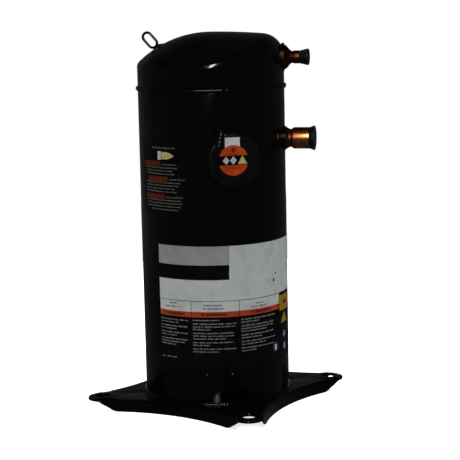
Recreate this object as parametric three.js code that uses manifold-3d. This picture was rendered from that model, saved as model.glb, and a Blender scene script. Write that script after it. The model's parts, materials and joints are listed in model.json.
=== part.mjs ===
// Hermetic scroll compressor, millimetres, +Z up.
// The origin is at the bottom centre of the foot, and the foot's holes are square with X and Y.
import * as THREE from 'three';
import { mergeVertices } from 'three/addons/utils/BufferGeometryUtils.js';
import Module from 'manifold-3d';

const wasm = await Module();
wasm.setup();

// ---- driving dimensions ----
const GAP = 0.3; // clearance between pieces that touch
const SHELL_R = 82.55; // 165.1 mm outside diameter
const WALL = 3.4;
const BORE_R = SHELL_R - WALL;
const FIT_R = BORE_R - 0.35; // pieces pressed into the shell
const SHELL_BOTTOM = 14.3;
const SEAM_Z = 357.6; // top edge of the shell
const APEX_Z = 421; // top of the cap
const PORT_AZIMUTH = THREE.MathUtils.degToRad(20); // both stubs
const SUCTION_Z = 301.6;
const DISCHARGE_Z = 391.5;
const TERMINAL_AZIMUTH = THREE.MathUtils.degToRad(-45);
const TERMINAL_Z = 286;

// foot
const HOLE_PITCH = 190.5;
const HOLE_R = 8.25;
const TIP_R = 17;
const WAIST_R = 90; // narrowest reach of the edge between two arms
const PLATE_TOP = 14;
const PLATE_THICK = 3.2;
const FLANGE_THICK = 3.2;
const FOOT_OPENING_R = 62;

// cap
const CROWN_R = 117; // crown over the ring side
const FLAT_CROWN_R = 684; // nearly flat crown over the discharge side
const KNUCKLE_R = 10;
const SHOULDER_R = 26;

// scroll set
const THROW = 4; // eccentricity of the crank pin, and the orbit's radius
const WRAP_PITCH = 17;
const WRAP_THICK = 4.2;
const WRAP_START = 1.15 * Math.PI;
const WRAP_END = 5.2 * Math.PI;
const ORBIT_BASE_Z = 296.3;
const ORBIT_TOP_Z = 303;
const WRAP_TIP_Z = 322;
const GUIDE_R = 67; // circle of the guide bolts
const KEY_R = 49; // circle of the Oldham keys
const PIN_DIRECTION = Math.PI / 4; // where the crank pin points at rest
const PIN_X = THROW * Math.cos(PIN_DIRECTION);
const PIN_Y = THROW * Math.sin(PIN_DIRECTION);

// motor
const STACK_BOTTOM = 110;
const STACK_TOP = 200;
const STATOR_BORE_R = 43;
const ROTOR_R = 42.5;
const SHAFT_R = 14;
const SLOTS = 24;
const SLOT_R = 61; // bottom of the slots

// sides of a turned piece
const FINE = 48;
const ROUND = 24;
const SMALL = 16;
const TINY = 10;

// ---- finishes ----
const finish = (color, roughness, metalness) => () =>
  new THREE.MeshStandardMaterial({ color, roughness, metalness });
const paint = finish(0x0d0d0e, 0.3, 0.1);
const steel = finish(0x8d9095, 0.35, 1);
const iron = finish(0x5b5d60, 0.55, 0.8);
const copper = finish(0xb4602f, 0.3, 1);
const bronze = finish(0x9c7a3a, 0.4, 1);
const alloy = finish(0xb9bcc0, 0.4, 1);
const rubber = finish(0x141414, 0.75, 0);
const moulding = finish(0x17171a, 0.45, 0);
const varnish = finish(0x8a3b1c, 0.5, 0.2);
const glass = finish(0x2f4a3a, 0.15, 0);

// ---- closed geometry ----
function weld(geometry) {
  const bare = geometry.clone();
  bare.deleteAttribute('normal');
  bare.deleteAttribute('uv');
  const merged = mergeVertices(bare, 1e-4);
  const index = merged.index.array;
  const kept = [];
  for (let i = 0; i < index.length; i += 3) {
    const [a, b, c] = index.slice(i, i + 3);
    if (a !== b && b !== c && c !== a) kept.push(a, b, c);
  }
  merged.setIndex(kept);
  return merged;
}

function solid(geometry) {
  const { attributes, index } = weld(geometry);
  const vertProperties = new Float32Array(attributes.position.array);
  const triVerts = new Uint32Array(index.array);
  const body = () => new wasm.Manifold(new wasm.Mesh({ numProp: 3, vertProperties, triVerts }));
  const first = body();
  if (first.volume() > 0) return first;
  for (let i = 0; i < triVerts.length; i += 3) {
    [triVerts[i + 1], triVerts[i + 2]] = [triVerts[i + 2], triVerts[i + 1]];
  }
  return body();
}

function geometryOf(manifold) {
  const { vertProperties, triVerts, numProp } = manifold.getMesh();
  const points = new Float32Array((vertProperties.length / numProp) * 3);
  for (let i = 0; i < points.length; i += 1) {
    points[i] = vertProperties[Math.floor(i / 3) * numProp + (i % 3)];
  }
  const geometry = new THREE.BufferGeometry();
  geometry.setAttribute('position', new THREE.BufferAttribute(points, 3));
  geometry.setIndex([...triVerts]);
  return geometry;
}

// A base geometry, with others joined to it and then others cut from it.
function shape(base, { add = [], cut = [] } = {}) {
  let body = solid(base);
  for (const piece of add) body = body.add(solid(piece));
  for (const piece of cut) body = body.subtract(solid(piece));
  return geometryOf(body);
}

// Turned about +Z: the profile holds [radius, height] pairs, and closes on itself unless it is on the axis.
function turned(profile, segments = ROUND) {
  const points = profile.map(([r, z]) => new THREE.Vector2(r, z));
  const onAxis = profile[0][0] === 0 && profile.at(-1)[0] === 0;
  if (!onAxis) points.push(points[0].clone());
  return new THREE.LatheGeometry(points, segments).rotateX(Math.PI / 2);
}

const ring = (inner, outer, low, high, segments = ROUND) =>
  turned([[inner, low], [outer, low], [outer, high], [inner, high]], segments);

const disc = (radius, low, high, segments = ROUND) =>
  turned([[0, low], [radius, low], [radius, high], [0, high]], segments);

const block = (sizeX, sizeY, low, high) =>
  new THREE.BoxGeometry(sizeX, sizeY, high - low).translate(0, 0, (low + high) / 2);

const extruded = (outline, low, high, curveSegments = 5) =>
  new THREE.ExtrudeGeometry(outline, { depth: high - low, bevelEnabled: false, curveSegments })
    .translate(0, 0, low);

const around = (geometry, azimuth, radius = 0) =>
  geometry.clone().translate(radius, 0, 0).rotateZ(azimuth);

const quarters = [0, 1, 2, 3].map((n) => (n * Math.PI) / 2);
const thirds = [0, 1, 2].map((n) => (n * 2 * Math.PI) / 3);

// An arc of [radius, height] points about a centre, from one angle to another, in degrees.
function arc(centreR, centreZ, radius, from, to, steps = 5) {
  return Array.from({ length: steps + 1 }, (_, i) => {
    const angle = THREE.MathUtils.degToRad(from + ((to - from) * i) / steps);
    return [centreR + radius * Math.cos(angle), centreZ + radius * Math.sin(angle)];
  });
}

// A frame whose +Z points away from the shell's axis at a given azimuth and height.
function radialFrame(azimuth, height) {
  const frame = new THREE.Group();
  frame.position.z = height;
  frame.rotation.set(0, Math.PI / 2, azimuth, 'ZYX');
  frame.updateMatrixWorld(true);
  return frame;
}

const placed = (geometry, frame) => geometry.clone().applyMatrix4(frame.matrixWorld);
const unplaced = (geometry, frame) =>
  geometry.clone().applyMatrix4(frame.matrixWorld.clone().invert());

const compressor = new THREE.Group();
const suctionLine = radialFrame(PORT_AZIMUTH, SUCTION_Z);
const dischargeLine = radialFrame(PORT_AZIMUTH, DISCHARGE_Z);
const terminal = radialFrame(TERMINAL_AZIMUTH, TERMINAL_Z);
const pinAxis = new THREE.Group(); // the crank pin's axis, which the orbiting pieces share
pinAxis.position.set(PIN_X, PIN_Y, 0);
compressor.add(suctionLine, dischargeLine, terminal, pinAxis);

function node(name, geometry, material, parent = compressor) {
  const mesh = new THREE.Mesh(geometryOf(solid(geometry)), material());
  mesh.name = name;
  parent.add(mesh);
  return mesh;
}

// ---- pressure vessel ----
const SUCTION_HOLE_R = 13;
const TERMINAL_HOLE_R = 21;
const BOSS_HOLE_R = 14.3;

node('shell', shape(ring(BORE_R, SHELL_R, SHELL_BOTTOM, SEAM_Z, FINE), {
  cut: [
    placed(disc(SUCTION_HOLE_R, 60, 100), suctionLine),
    placed(disc(TERMINAL_HOLE_R, 60, 100), terminal),
  ],
}), paint);

// The cap's outer or inner face: a crown, a knuckle and a skirt, all varying around the axis.
function capFace(azimuth, inset, crownSteps, knuckleSteps) {
  const towardsPort = Math.max(0, Math.cos(azimuth - PORT_AZIMUTH)) ** 2;
  const crown = 1 / ((1 - towardsPort) / CROWN_R + towardsPort / FLAT_CROWN_R) - inset;
  const knuckle = KNUCKLE_R + (SHOULDER_R - KNUCKLE_R) * towardsPort - inset;
  const top = APEX_Z - inset;
  const reach = SHELL_R - inset - knuckle;
  const tangentR = reach / (1 - knuckle / crown);
  const lean = Math.asin(tangentR / crown);
  const tangentZ = top - crown * (1 - Math.cos(lean));
  const centreZ = tangentZ - knuckle * Math.cos(lean);
  const face = [];
  for (let i = 0; i <= crownSteps; i += 1) {
    const angle = (lean * i) / crownSteps;
    face.push([crown * Math.sin(angle), top - crown * (1 - Math.cos(angle))]);
  }
  for (let i = 1; i <= knuckleSteps; i += 1) {
    const angle = lean + ((Math.PI / 2 - lean) * i) / knuckleSteps;
    face.push([reach + knuckle * Math.sin(angle), centreZ + knuckle * Math.cos(angle)]);
  }
  return face;
}

const CAP_LOW = 362.2;
const CAP_SEGMENTS = 40;

function capProfile(azimuth) {
  const outer = capFace(azimuth, 0, 6, 5);
  const inner = capFace(azimuth, WALL, 3, 3).reverse();
  return [...outer, [SHELL_R, CAP_LOW], [BORE_R, CAP_LOW], ...inner];
}

function capGeometry() {
  const count = capProfile(0).length;
  const plain = capProfile(0).map(([r, z]) => new THREE.Vector2(r, z));
  const lathe = new THREE.LatheGeometry(plain, CAP_SEGMENTS);
  const position = lathe.attributes.position;
  for (let step = 0; step <= CAP_SEGMENTS; step += 1) {
    const azimuth = ((step % CAP_SEGMENTS) / CAP_SEGMENTS) * 2 * Math.PI;
    capProfile(azimuth).forEach(([r, z], i) => {
      const x = r * Math.cos(azimuth);
      const y = r * Math.sin(azimuth);
      position.setXYZ(step * count + i, x, y, z);
    });
  }
  return lathe;
}

node('top_cap', shape(capGeometry(), {
  cut: [placed(disc(BOSS_HOLE_R, 60, 100), dischargeLine)],
}), paint);

const CUP_R = FIT_R;
node('bottom_cap', turned([
  [0, 3], [30, 3.6], [50, 6.5], [58.5, 10.2], [61.3, SHELL_BOTTOM], [73, SHELL_BOTTOM],
  ...arc(CUP_R - 5.8, 20.1, 5.8, -90, 0, 3),
  [CUP_R, 42], [CUP_R - 3.2, 42], [CUP_R - 3.2, 20.5], [73, 17.6], [60, 17.6], [56.5, 13],
  [48.5, 9.6], [30, 6.8], [0, 6.2],
]), paint);

const SEPARATOR_LOW = SEAM_Z + GAP;
const SEPARATOR_HIGH = SEPARATOR_LOW + 4;
node('muffler_plate', turned([
  [9, SEPARATOR_LOW], [32, SEPARATOR_LOW], [38, SEPARATOR_LOW + 3.6],
  [58, SEPARATOR_LOW + 3.6], [64, SEPARATOR_LOW], [SHELL_R - 0.2, SEPARATOR_LOW],
  [SHELL_R - 0.2, SEPARATOR_HIGH], [66, SEPARATOR_HIGH], [60, SEPARATOR_HIGH + 3.6],
  [36, SEPARATOR_HIGH + 3.6], [30, SEPARATOR_HIGH], [9, SEPARATOR_HIGH],
]), steel);

// ---- foot ----
const HALF_PITCH = HOLE_PITCH / 2;
// Centre of the hollow edge: it clears the axis by WAIST_R and is tangent to two tip circles.
const EDGE_CENTRE = (2 * HALF_PITCH ** 2 - (WAIST_R - TIP_R) ** 2)
  / (2 * (HALF_PITCH - (WAIST_R - TIP_R)));

// The foot's outline, set in from its edge by a distance.
function footOutline(inset) {
  const tip = TIP_R - inset;
  const hollow = EDGE_CENTRE - WAIST_R + inset;
  const tangent = Math.atan2(HALF_PITCH, EDGE_CENTRE - HALF_PITCH);
  const outline = new THREE.Shape();
  for (const turn of quarters) {
    const edgeX = EDGE_CENTRE * Math.cos(turn);
    const edgeY = EDGE_CENTRE * Math.sin(turn);
    outline.absarc(edgeX, edgeY, hollow, turn + Math.PI + tangent, turn + Math.PI - tangent, true);
    const holeR = HALF_PITCH * Math.SQRT2;
    const holeX = holeR * Math.cos(turn + Math.PI / 4);
    const holeY = holeR * Math.sin(turn + Math.PI / 4);
    outline.absarc(holeX, holeY, tip, turn - tangent, turn + Math.PI / 2 + tangent, false);
  }
  return outline;
}

const SHEET_LOW = PLATE_TOP - PLATE_THICK;
const mountingHole = disc(HOLE_R, -5, 30, 24);
// The region under the turned-down edge that is trimmed away towards each tip.
const FLANGE_FULL_R = 127;
const FLANGE_GONE_R = 144;
const BEYOND_TIPS_R = 170;
const flangeTaper = turned([
  [FLANGE_FULL_R, -1], [BEYOND_TIPS_R, -1], [BEYOND_TIPS_R, SHEET_LOW],
  [FLANGE_GONE_R, SHEET_LOW], [FLANGE_FULL_R, 0],
]);
const flange = shape(extruded(footOutline(0), 0, SHEET_LOW + 1), {
  cut: [extruded(footOutline(FLANGE_THICK), -1, SHEET_LOW + 2), flangeTaper],
});
node('base_plate', shape(extruded(footOutline(0), SHEET_LOW, PLATE_TOP), {
  add: [flange],
  cut: [
    disc(FOOT_OPENING_R, -5, 30),
    ...quarters.map((turn) => around(mountingHole, turn + Math.PI / 4, HALF_PITCH * Math.SQRT2)),
  ],
}), paint);

// ---- lifting ring ----
const RING_ROD_R = 1.5;
const RING_BEND_R = 5; // half the width between the rod's centres
const RING_STRAIGHT = 9.3;
const RING_LEAN = THREE.MathUtils.degToRad(41.5);
const RING_FOOT = [61.4, 404.2]; // where its foot stands, in the plane of the ports

function loopGeometry() {
  const torus = new THREE.TorusGeometry(RING_BEND_R, RING_ROD_R, 8, 24);
  const position = torus.attributes.position;
  for (let i = 0; i < position.count; i += 1) {
    const lift = position.getY(i) > 1e-6 ? RING_STRAIGHT : 0;
    position.setY(i, position.getY(i) + lift + RING_BEND_R + RING_ROD_R);
  }
  return torus;
}

const ringFrame = new THREE.Group();
ringFrame.rotation.z = PORT_AZIMUTH + Math.PI;
const liftingRing = new THREE.Group();
liftingRing.position.set(RING_FOOT[0], 0, RING_FOOT[1]);
liftingRing.rotation.set(Math.PI / 2, RING_LEAN, 0, 'YXZ');
ringFrame.add(liftingRing);
compressor.add(ringFrame);
node('lifting_ring', loopGeometry(), paint, liftingRing);

// ---- suction connection, along its own axis ----
// The socket takes a 22.2 mm line.
node('suction_collar', turned([
  [10.3, 76], [12.6, 76], [12.6, 83.4], [12.9, 84.2], [12, 85], [10.9, 87], [10.3, 88.2],
]), paint, suctionLine);
node('suction_stub', turned([
  [9.1, 72], [10, 72], [10, 90.6], [12, 93.2], [12, 111.2], [11.15, 111.2],
  [11.15, 93.8], [9.1, 91.2],
]), copper, suctionLine);
// The plug's lip stands clear of the socket's end by a little over 2 mm.
node('suction_plug', turned([
  [0, 101], [10.1, 101], [10.8, 102], [10.8, 113.3], [12.8, 113.3], [13.5, 114.6],
  [13.9, 116], [13.5, 116.8], [11.5, 117.2], [0, 117.3],
]), rubber, suctionLine);

// ---- discharge connection, along its own axis ----
// The swaged end takes a 12.7 mm line.
node('discharge_boss', turned([
  [6.7, 74], [9.3, 74], [9.3, 66], [14, 66], [14, 81], [13.4, 84], [11.9, 86.5], [9.8, 88.3],
  [7.6, 89.2], [6.7, 89.2],
]), paint, dischargeLine);
node('check_valve_seat', turned([
  [3.5, 66.3], [9, 66.3], [9, 68.3], [5, 68.3], [3.5, 67.6],
], SMALL), steel, dischargeLine);
node('check_valve_disc', disc(8.5, 68.6, 70, SMALL), steel, dischargeLine);
node('discharge_stub', turned([
  [5.4, 75], [6.4, 75], [6.4, 93], [7.25, 95], [7.25, 101], [6.4, 101], [6.4, 96], [5.4, 94],
]), copper, dischargeLine);
node('discharge_plug', turned([
  [0, 92.6], [4.7, 92.6], [5.1, 93.4], [5.1, 94.6], [6.05, 97], [6.05, 103.1], [7.6, 103.1],
  [8.2, 105.4], [9, 108.2], [9.2, 110], [8.6, 111.1], [6.2, 111.5], [0, 111.6],
]), rubber, dischargeLine);

// ---- electrical terminal, along its own axis ----
const terminalPins = thirds.map((turn) => Math.PI + turn);
const PIN_CIRCLE_R = 9;
const shellBody = disc(SHELL_R + GAP, 200, 357, FINE);
node('terminal_fence', shape(ring(22, 25, 76, 92), {
  cut: [unplaced(shellBody, terminal)],
}), steel, terminal);
node('terminal_body', shape(turned([
  [0, 79.5], [17.5, 79.5], [17.5, 77.5], [20.6, 77.5], [20.6, 80], [19, 83], [0, 83],
]), {
  cut: terminalPins.map((angle) => around(disc(4, 70, 90, 16), angle, PIN_CIRCLE_R)),
}), steel, terminal);
terminalPins.forEach((angle, i) => {
  const pin = around(disc(1.5, 67.5, 94, TINY), angle, PIN_CIRCLE_R);
  const bead = around(ring(1.8, 3.7, 78, 84.5, 16), angle, PIN_CIRCLE_R);
  node(`terminal_pin_${i + 1}`, pin, steel, terminal);
  node(`terminal_glass_${i + 1}`, bead, glass, terminal);
});
const COVER_R = 29;
const COVER_FRONT = 99;
const COVER_THICK = 2.8;
const COVER_BORE_R = 26;
const SLEEVE_R = 4.3; // lead sleeve, up and to the left of the cover's middle
const SLEEVE_HALF = 9.3;
const SLEEVE_UP = 24.5;
const SLEEVE_LEFT = 16;
const SLEEVE_SUNK = 1.5; // depth of its axis below the cover's face
const SLEEVE_LEAN = THREE.MathUtils.degToRad(12.7);
const leadSleeve = disc(SLEEVE_R, -SLEEVE_HALF, SLEEVE_HALF, SMALL)
  .rotateY(Math.PI / 2)
  .rotateZ(-SLEEVE_LEAN)
  .translate(-SLEEVE_UP, -SLEEVE_LEFT, COVER_FRONT - SLEEVE_SUNK);
const coverInside = COVER_FRONT - COVER_THICK;
node('terminal_cover', shape(turned([
  [0, coverInside], [COVER_BORE_R, coverInside], [COVER_BORE_R, 70], [COVER_R, 70],
  [COVER_R, COVER_FRONT - 2], [COVER_R - 0.7, COVER_FRONT - 0.6], [COVER_R - 2, COVER_FRONT],
  [0, COVER_FRONT],
], 36), {
  add: [leadSleeve],
  cut: [unplaced(shellBody, terminal), disc(COVER_BORE_R, 60, coverInside, 36)],
}), moulding, terminal);
node('lead_plug', shape(disc(14, 66, 75, 24), {
  cut: terminalPins.map((angle) => around(disc(1.8, 60, 80, TINY), angle, PIN_CIRCLE_R)),
}), moulding, terminal);

const WINDING_TOP = 227;
const leads = new THREE.Group();
leads.rotation.z = TERMINAL_AZIMUTH;
compressor.add(leads);
const LEAD_R = 1.5;
[-5, 0, 5].forEach((side, i) => {
  const start = TERMINAL_Z - Math.sqrt(14 ** 2 - side ** 2) - GAP - 0.2;
  const route = new THREE.CatmullRomCurve3([
    new THREE.Vector3(70.5, side, start),
    new THREE.Vector3(70.5, side, start - 8),
    new THREE.Vector3(67.5 - Math.abs(side) / 4, side * 1.3, 250),
    new THREE.Vector3(64, side * 1.6, 234),
    new THREE.Vector3(64, side * 1.6, WINDING_TOP + 0.4),
  ]);
  const section = new THREE.Shape().absarc(0, 0, LEAD_R, 0, 2 * Math.PI);
  const settings = { extrudePath: route, steps: 8, curveSegments: 4 };
  node(`motor_lead_${i + 1}`, new THREE.ExtrudeGeometry(section, settings), moulding, leads);
});

// ---- scroll set ----
// The flat outline of a spiral wall: one side outwards and the other side back.
function wrapOutline() {
  const base = WRAP_PITCH / (2 * Math.PI);
  const half = WRAP_THICK / 2 / base;
  const steps = 36;
  const side = (shift) => Array.from({ length: steps + 1 }, (_, i) => {
    const angle = WRAP_START + ((WRAP_END - WRAP_START) * i) / steps;
    const swing = angle + shift;
    const x = base * (Math.cos(angle) + swing * Math.sin(angle));
    const y = base * (Math.sin(angle) - swing * Math.cos(angle));
    return new THREE.Vector2(x, y);
  });
  return new THREE.Shape([...side(half), ...side(-half).reverse()]);
}

const FIXED_LOW = ORBIT_TOP_Z + GAP;
const FIXED_FACE = WRAP_TIP_Z + GAP; // underside of the fixed scroll's plate
const FIXED_TOP = 334;
const CHAMBER_R = 51.3;
const EAR_LOW = 318.5;
const EAR_TOP = 328;
const ear = shape(disc(9, EAR_LOW, EAR_TOP, SMALL).translate(GUIDE_R, 0, 0), {
  add: [block(14, 18, EAR_LOW, EAR_TOP).translate(59, 0, 0)],
});
const suctionWindow = around(block(14, 24, FIXED_LOW + 2, FIXED_FACE - 1), PORT_AZIMUTH, 56);
node('non_orbiting_scroll', shape(turned([
  [6, FIXED_FACE], [CHAMBER_R, FIXED_FACE], [CHAMBER_R, FIXED_LOW], [57.5, FIXED_LOW],
  [57.5, FIXED_TOP - 3], [54.5, FIXED_TOP], [45, FIXED_TOP], [45, 347], [40.5, 347],
  [40.5, FIXED_TOP], [17, FIXED_TOP], [17, 350], [11.5, 350], [11.5, FIXED_TOP], [6, FIXED_TOP],
]), {
  add: [
    extruded(wrapOutline(), FIXED_LOW, FIXED_FACE + 1),
    ...quarters.map((turn) => around(ear, turn)),
  ],
  cut: [
    suctionWindow,
    ...quarters.map((turn) => around(disc(6.9, 310, 340, SMALL), turn, GUIDE_R)),
  ],
}), iron);
node('discharge_valve_disc', disc(10.5, FIXED_TOP + GAP, FIXED_TOP + 2, SMALL), steel);
node('discharge_valve_retainer', ring(5, 11.1, 339.2, 342, SMALL), steel);
node('floating_seal', turned([
  [17.4, 336], [40.1, 336], [40.1, 351], [38, 352], [28, 352], [27.4, 356.6], [24.6, 356.6],
  [24, 352], [17.4, 352],
]), steel);

const KEY_WIDE = 7;
const KEY_LONG = 8;
const ORBIT_PLATE_R = 55;
const keySlotLong = KEY_LONG + 2 * THROW + 1.2;
const orbitSlot = block(40, KEY_WIDE + 4 * THROW + 1.2, ORBIT_BASE_Z - 1, 300.2);
const ORBIT_SLOT_INNER = KEY_R - keySlotLong / 2;
node('orbiting_scroll', shape(turned([
  [0, ORBIT_BASE_Z], [13.3, ORBIT_BASE_Z], [13.3, 275], [18.3, 275], [18.3, ORBIT_BASE_Z],
  [ORBIT_PLATE_R, ORBIT_BASE_Z], [ORBIT_PLATE_R, ORBIT_TOP_Z], [0, ORBIT_TOP_Z],
]), {
  add: [extruded(wrapOutline(), ORBIT_TOP_Z - 1, WRAP_TIP_Z).rotateZ(Math.PI)],
  cut: [0, Math.PI].map((turn) =>
    around(orbitSlot, turn + PIN_DIRECTION, ORBIT_SLOT_INNER + 20)),
}), iron, pinAxis);
node('drive_bush', ring(9.3, 13, 274, 293.5), bronze, pinAxis);

const OLDHAM_LOW = 289.4;
const OLDHAM_HIGH = 294.8;
const upperKey = block(KEY_LONG, KEY_WIDE, OLDHAM_HIGH - 1, 299.5);
const lowerKey = block(KEY_LONG, KEY_WIDE, 284, OLDHAM_LOW + 1);
const acrossPin = PIN_DIRECTION + Math.PI / 2;
node('oldham_ring', shape(ring(43.5, 54.5, OLDHAM_LOW, OLDHAM_HIGH), {
  add: [0, Math.PI].flatMap((turn) => [
    around(upperKey, turn + PIN_DIRECTION, KEY_R),
    around(lowerKey, turn + acrossPin, KEY_R),
  ]),
}), alloy);

// ---- main bearing ----
const HOUSING_TOP = 296;
const guidePost = disc(7.5, 280, 317.5, SMALL);
const guidePad = shape(block(21, 32, 272, 290).translate(70.5, 0, 0), {
  cut: [ring(FIT_R, 100, 260, 300)],
});
node('main_bearing_housing', shape(turned([
  [18.3, 244], [26, 244], [26, 260], [40, 267], [63, 272], [63, HOUSING_TOP],
  [59.2, HOUSING_TOP], [59.2, 289], [38.8, 289], [38.8, HOUSING_TOP], [30.2, HOUSING_TOP],
  [30.2, 271.5], [18.3, 271.5],
]), {
  add: quarters.flatMap((turn) => [around(guidePad, turn), around(guidePost, turn, GUIDE_R)]),
  cut: [
    ...[0, Math.PI].map((turn) => around(
      block(keySlotLong, KEY_WIDE + 0.6, 283.4, 291),
      turn + acrossPin,
      KEY_R,
    )),
    ...quarters.map((turn) => around(disc(4.3, 298, 320, TINY), turn, GUIDE_R)),
  ],
}), iron);
node('main_bearing_bush', ring(15.35, 18, 245, 270.5), bronze);
quarters.forEach((turn, i) => {
  const bolt = turned([
    [0, 299], [4, 299], [4, 330.1], [8, 330.1], [8, 334.6], [6.8, 336], [0, 336],
  ], 16);
  node(`guide_bolt_${i + 1}`, around(bolt, turn, GUIDE_R), steel);
  node(`guide_sleeve_${i + 1}`, around(ring(4.3, 6.5, 317.8, 329.8, 16), turn, GUIDE_R), steel);
});
const baffle = new THREE.Shape();
const BAFFLE_HALF = THREE.MathUtils.degToRad(12);
baffle.absarc(0, 0, 70, PORT_AZIMUTH - BAFFLE_HALF, PORT_AZIMUTH + BAFFLE_HALF, false);
baffle.absarc(0, 0, 68.6, PORT_AZIMUTH + BAFFLE_HALF, PORT_AZIMUTH - BAFFLE_HALF, true);
node('suction_baffle', extruded(baffle, 290.5, 317), steel);

// ---- crankshaft and rotor ----
const crankPin = disc(9, 270, 293).translate(PIN_X, PIN_Y, 0);
const oilGallery = disc(2, 48, 300, 8).translate(PIN_X, PIN_Y, 0);
node('crankshaft', shape(turned([
  [0, 54], [5.4, 52], [5.4, 40], [9.4, 40], [10, 40.6], [10, 66], [SHAFT_R, 66],
  [SHAFT_R, 244], [15, 244], [15, 271], [0, 271],
]), { add: [crankPin], cut: [oilGallery] }), steel);

// Half a ring, with its middle at a given azimuth.
function halfRing(inner, outer, low, high, azimuth) {
  const half = new THREE.Shape();
  half.absarc(0, 0, outer, azimuth - Math.PI / 2, azimuth + Math.PI / 2, false);
  half.absarc(0, 0, inner, azimuth + Math.PI / 2, azimuth - Math.PI / 2, true);
  return extruded(half, low, high, 8);
}

const awayFromPin = PIN_DIRECTION + Math.PI;
node('upper_counterweight', shape(ring(14.35, 22, 229, 243.4), {
  add: [halfRing(21, 55, 231, 243.4, awayFromPin)],
}), iron);
node('rotor_core', ring(14.35, ROTOR_R, STACK_BOTTOM - 2, STACK_TOP + 2), steel);
node('rotor_end_ring_upper', ring(24, 41, STACK_TOP + 2.3, STACK_TOP + 10), alloy);
node('rotor_end_ring_lower', ring(24, 41, STACK_BOTTOM - 10, STACK_BOTTOM - 2.3), alloy);
node('lower_counterweight', halfRing(24, 40, 88, STACK_BOTTOM - 10.3, PIN_DIRECTION), iron);
node('oil_pickup', turned([
  [2.2, 17], [3.2, 17], [5, 22], [5, 51], [3.9, 51], [3.9, 22.6],
], SMALL), steel);

// ---- stator ----
function statorOutline() {
  const outline = new THREE.Shape().absarc(0, 0, FIT_R, 0, 2 * Math.PI);
  const bore = [];
  const pitch = (2 * Math.PI) / SLOTS;
  for (let i = 0; i < SLOTS; i += 1) {
    const middle = i * pitch;
    const corners = [
      [STATOR_BORE_R, -0.14], [STATOR_BORE_R + 2, -0.26], [SLOT_R, -0.26],
      [SLOT_R, 0.26], [STATOR_BORE_R + 2, 0.26], [STATOR_BORE_R, 0.14],
    ];
    for (const [radius, part] of corners) {
      const angle = middle + part * pitch;
      const x = radius * Math.cos(angle);
      const y = radius * Math.sin(angle);
      bore.push(new THREE.Vector2(x, y));
    }
  }
  outline.holes.push(new THREE.Path(bore));
  return outline;
}

node('stator_core', extruded(statorOutline(), STACK_BOTTOM, STACK_TOP, 24), steel);
const endTurns = (near, far) => turned([
  [50, near], [68, near], [70, near + (far - near) * 0.35], [68.5, near + (far - near) * 0.8],
  [66, far], [53, far], [49.5, near + (far - near) * 0.8], [48.5, near + (far - near) * 0.35],
]);
node('upper_winding', endTurns(STACK_TOP + GAP, WINDING_TOP), varnish);
node('lower_winding', endTurns(STACK_BOTTOM - GAP, 84), varnish);

// ---- lower bearing ----
// An opening between two spokes of the bracket.
function bracketWindow() {
  const from = 0.3;
  const to = (2 * Math.PI) / 3 - 0.3;
  const outline = new THREE.Shape();
  outline.absarc(0, 0, 66, from, to, false);
  outline.absarc(0, 0, 30, to - 0.25, from + 0.25, true);
  return extruded(outline, 45, 60, 4);
}

node('lower_bearing_bracket', shape(disc(FIT_R, 50, 56), {
  add: [disc(20, 35, 62), ring(74.5, FIT_R, 50, 66)],
  cut: [
    disc(13.3, 38, 70),
    disc(6.5, 30, 40, SMALL),
    ...thirds.map((turn) => around(bracketWindow(), turn)),
  ],
}), iron);
node('lower_bearing_bush', ring(10.35, 13, 40.3, 61.5), bronze);
node('thrust_washer', ring(7, 9.8, 38.3, 39.7, SMALL), bronze);
node('sump_magnet', ring(5, 14, 7.6, 12, SMALL), iron);

export default compressor;
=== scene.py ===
"""The looks of a hermetic scroll compressor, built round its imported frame.

Shapes are worked out in millimetres in the frame's own axes and scaled to metres as each mesh is made.
"""
import json
import math
import random

import bmesh
import bpy
import numpy as np
from mathutils import Matrix, Vector


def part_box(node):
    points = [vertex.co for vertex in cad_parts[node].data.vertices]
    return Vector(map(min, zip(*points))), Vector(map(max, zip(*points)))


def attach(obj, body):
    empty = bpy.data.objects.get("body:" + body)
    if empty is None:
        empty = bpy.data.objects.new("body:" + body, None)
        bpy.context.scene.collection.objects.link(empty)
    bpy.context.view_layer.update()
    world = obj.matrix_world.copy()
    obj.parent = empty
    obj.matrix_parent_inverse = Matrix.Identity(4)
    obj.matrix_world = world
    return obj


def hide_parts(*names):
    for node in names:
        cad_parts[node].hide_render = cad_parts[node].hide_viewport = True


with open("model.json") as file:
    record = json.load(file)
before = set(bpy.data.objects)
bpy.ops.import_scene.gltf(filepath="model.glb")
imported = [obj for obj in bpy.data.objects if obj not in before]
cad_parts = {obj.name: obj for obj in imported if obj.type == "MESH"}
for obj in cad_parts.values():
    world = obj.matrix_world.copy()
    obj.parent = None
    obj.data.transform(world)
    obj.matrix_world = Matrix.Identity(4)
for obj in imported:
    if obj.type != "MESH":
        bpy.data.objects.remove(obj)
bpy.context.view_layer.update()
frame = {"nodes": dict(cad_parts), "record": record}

MM = 0.001


def extent(node):
    """Lowest and highest corner of a CAD node, in millimetres."""
    low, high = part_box(node)
    return low / MM, high / MM


# ---- dimensions, in millimetres ----
SHELL_LOW = extent("shell")[0].z
SEAM_Z = extent("shell")[1].z
SHELL_R = extent("shell")[1].x
WALL = 3.4
APEX_Z = extent("top_cap")[1].z
CAP_LOW = extent("top_cap")[0].z
PORT_AZIMUTH = math.radians(20)
TERMINAL_AZIMUTH = math.radians(-45)
SUCTION_Z = (extent("suction_plug")[0].z + extent("suction_plug")[1].z) / 2
DISCHARGE_Z = (extent("discharge_plug")[0].z + extent("discharge_plug")[1].z) / 2
TERMINAL_Z = (extent("terminal_fence")[0].z + extent("terminal_fence")[1].z) / 2
PLATE_TOP = extent("base_plate")[1].z
PLATE_THICK = 3.2
HALF_PITCH = 95.25
HOLE_R = 8.25
TIP_R = 17
WAIST_R = 90


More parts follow.
